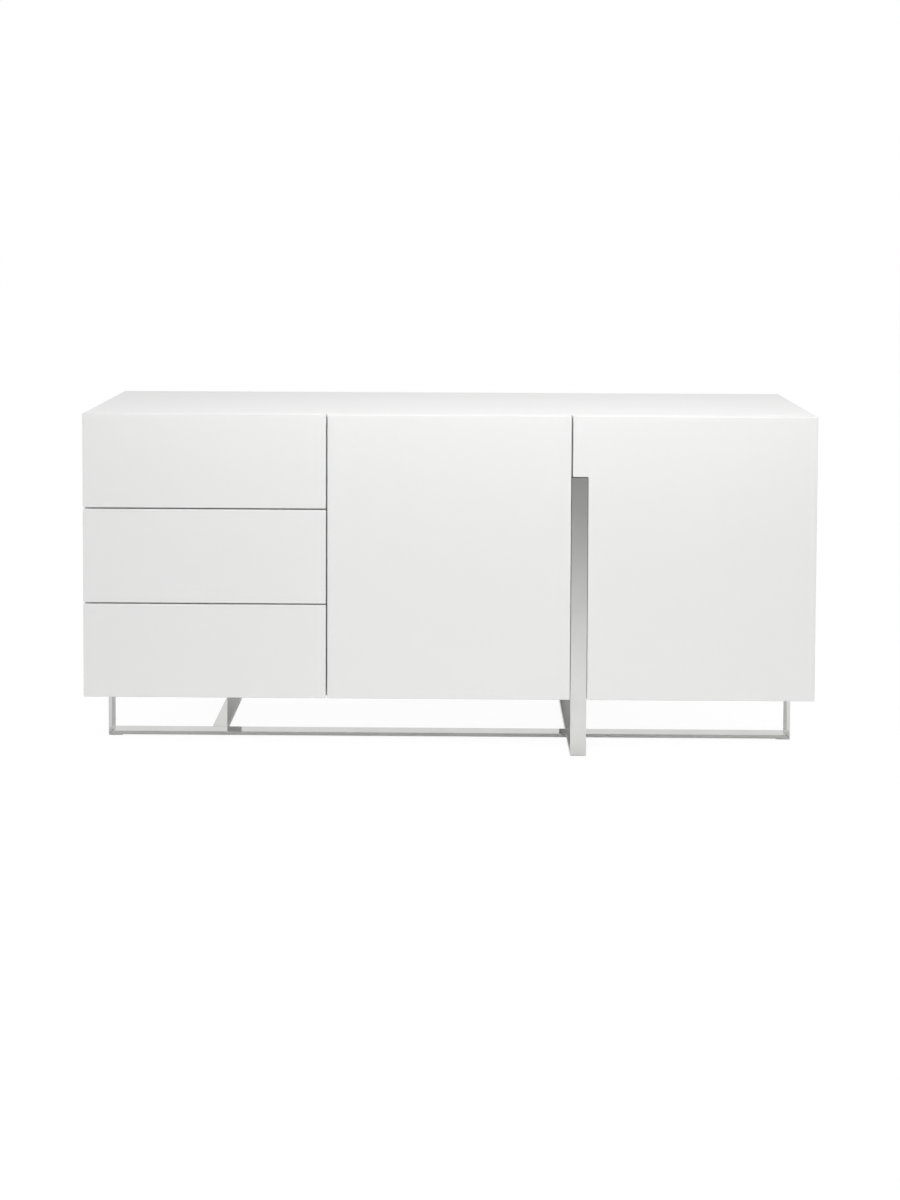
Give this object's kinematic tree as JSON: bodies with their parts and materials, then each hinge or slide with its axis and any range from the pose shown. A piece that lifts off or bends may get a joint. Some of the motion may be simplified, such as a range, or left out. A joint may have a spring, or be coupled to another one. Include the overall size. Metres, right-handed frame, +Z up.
{
  "type": "sideboard buffet",
  "caption": "Low white lacquered sideboard with handleless drawers and doors on a polished flat-bar steel base, whose upright rises between the doors.",
  "frame": {"origin": "on the floor, under the centre of the cabinet", "axes": "+X to the right seen from the front, +Y to the back, +Z up; the fronts face -Y"},
  "size_m": [1.6, 0.42, 0.748],
  "materials": {
    "lacquer": "semi-gloss white lacquer on fibreboard",
    "board": "matt white melamine board",
    "liner": "pale grey foil on board",
    "steel": "mirror-polished stainless flat bar",
    "zinc": "bright zinc and nickel plate",
    "nylon": "natural white nylon"
  },
  "bodies": {
    "cabinet": {"top_panel": "lacquer", "left_side_panel": "lacquer", "right_side_panel": "lacquer", "bottom_panel": "lacquer", "back_panel": "board", "left_divider": "board", "right_divider": "board", "upright_backing_rail": "board", "middle_shelf": "board", "right_shelf": "board", "runner_bar": "steel", "runner_left_leg": "steel", "runner_right_leg": "steel", "left_cross_bar": "steel", "left_rear_leg": "steel", "right_rear_cross_bar": "steel", "right_rear_leg": "steel", "front_upright": "steel", "right_front_cross_bar": "steel", "runner_left_glide": "nylon", "runner_right_glide": "nylon", "left_rear_glide": "nylon", "right_rear_glide": "nylon", "upright_glide": "nylon", "bottom_drawer_left_cabinet_rail": "zinc", "bottom_drawer_right_cabinet_rail": "zinc", "middle_drawer_left_cabinet_rail": "zinc", "middle_drawer_right_cabinet_rail": "zinc", "top_drawer_left_cabinet_rail": "zinc", "top_drawer_right_cabinet_rail": "zinc", "middle_lower_hinge_arm": "zinc", "middle_upper_hinge_arm": "zinc", "middle_latch_housing": "nylon", "right_lower_hinge_arm": "zinc", "right_upper_hinge_arm": "zinc", "right_latch_housing": "nylon"},
    "bottom_drawer": {"bottom_drawer_front": "lacquer", "bottom_drawer_box": "liner", "bottom_drawer_bottom": "liner", "bottom_drawer_left_drawer_rail": "zinc", "bottom_drawer_right_drawer_rail": "zinc"},
    "middle_drawer": {"middle_drawer_front": "lacquer", "middle_drawer_box": "liner", "middle_drawer_bottom": "liner", "middle_drawer_left_drawer_rail": "zinc", "middle_drawer_right_drawer_rail": "zinc"},
    "top_drawer": {"top_drawer_front": "lacquer", "top_drawer_box": "liner", "top_drawer_bottom": "liner", "top_drawer_left_drawer_rail": "zinc", "top_drawer_right_drawer_rail": "zinc"},
    "middle_door": {"middle_door": "lacquer", "middle_lower_hinge_cup": "zinc", "middle_upper_hinge_cup": "zinc"},
    "middle_plunger": {"middle_latch_plunger": "nylon"},
    "right_door": {"right_door": "lacquer", "right_lower_hinge_cup": "zinc", "right_upper_hinge_cup": "zinc"},
    "right_plunger": {"right_latch_plunger": "nylon"}
  },
  "joints": [
    {"name": "bottom_drawer_slide", "type": "slide", "parent": "cabinet", "child": "bottom_drawer", "axis": [0, -1, 0], "range_m": [0, 0.28]},
    {"name": "middle_drawer_slide", "type": "slide", "parent": "cabinet", "child": "middle_drawer", "axis": [0, -1, 0], "range_m": [0, 0.28]},
    {"name": "top_drawer_slide", "type": "slide", "parent": "cabinet", "child": "top_drawer", "axis": [0, -1, 0], "range_m": [0, 0.28]},
    {"name": "middle_door_hinge", "type": "hinge", "parent": "cabinet", "child": "middle_door", "pos_m": [-0.26067, -0.205, 0.436], "axis": [0, 0, -1], "range_deg": [0, 90]},
    {"name": "right_door_hinge", "type": "hinge", "parent": "cabinet", "child": "right_door", "pos_m": [0.795, -0.205, 0.436], "axis": [0, 0, 1], "range_deg": [0, 100]},
    {"name": "middle_plunger_slide", "type": "slide", "parent": "cabinet", "child": "middle_plunger", "axis": [0, -1, 0], "range_m": [0, 0.012]},
    {"name": "right_plunger_slide", "type": "slide", "parent": "cabinet", "child": "right_plunger", "axis": [0, -1, 0], "range_m": [0, 0.012]}
  ],
  "couplings": [
    {"joint": "middle_plunger_slide", "follows": "middle_door_hinge", "m_per_rad": 0.0076},
    {"joint": "right_plunger_slide", "follows": "right_door_hinge", "m_per_rad": 0.0068}
  ]
}
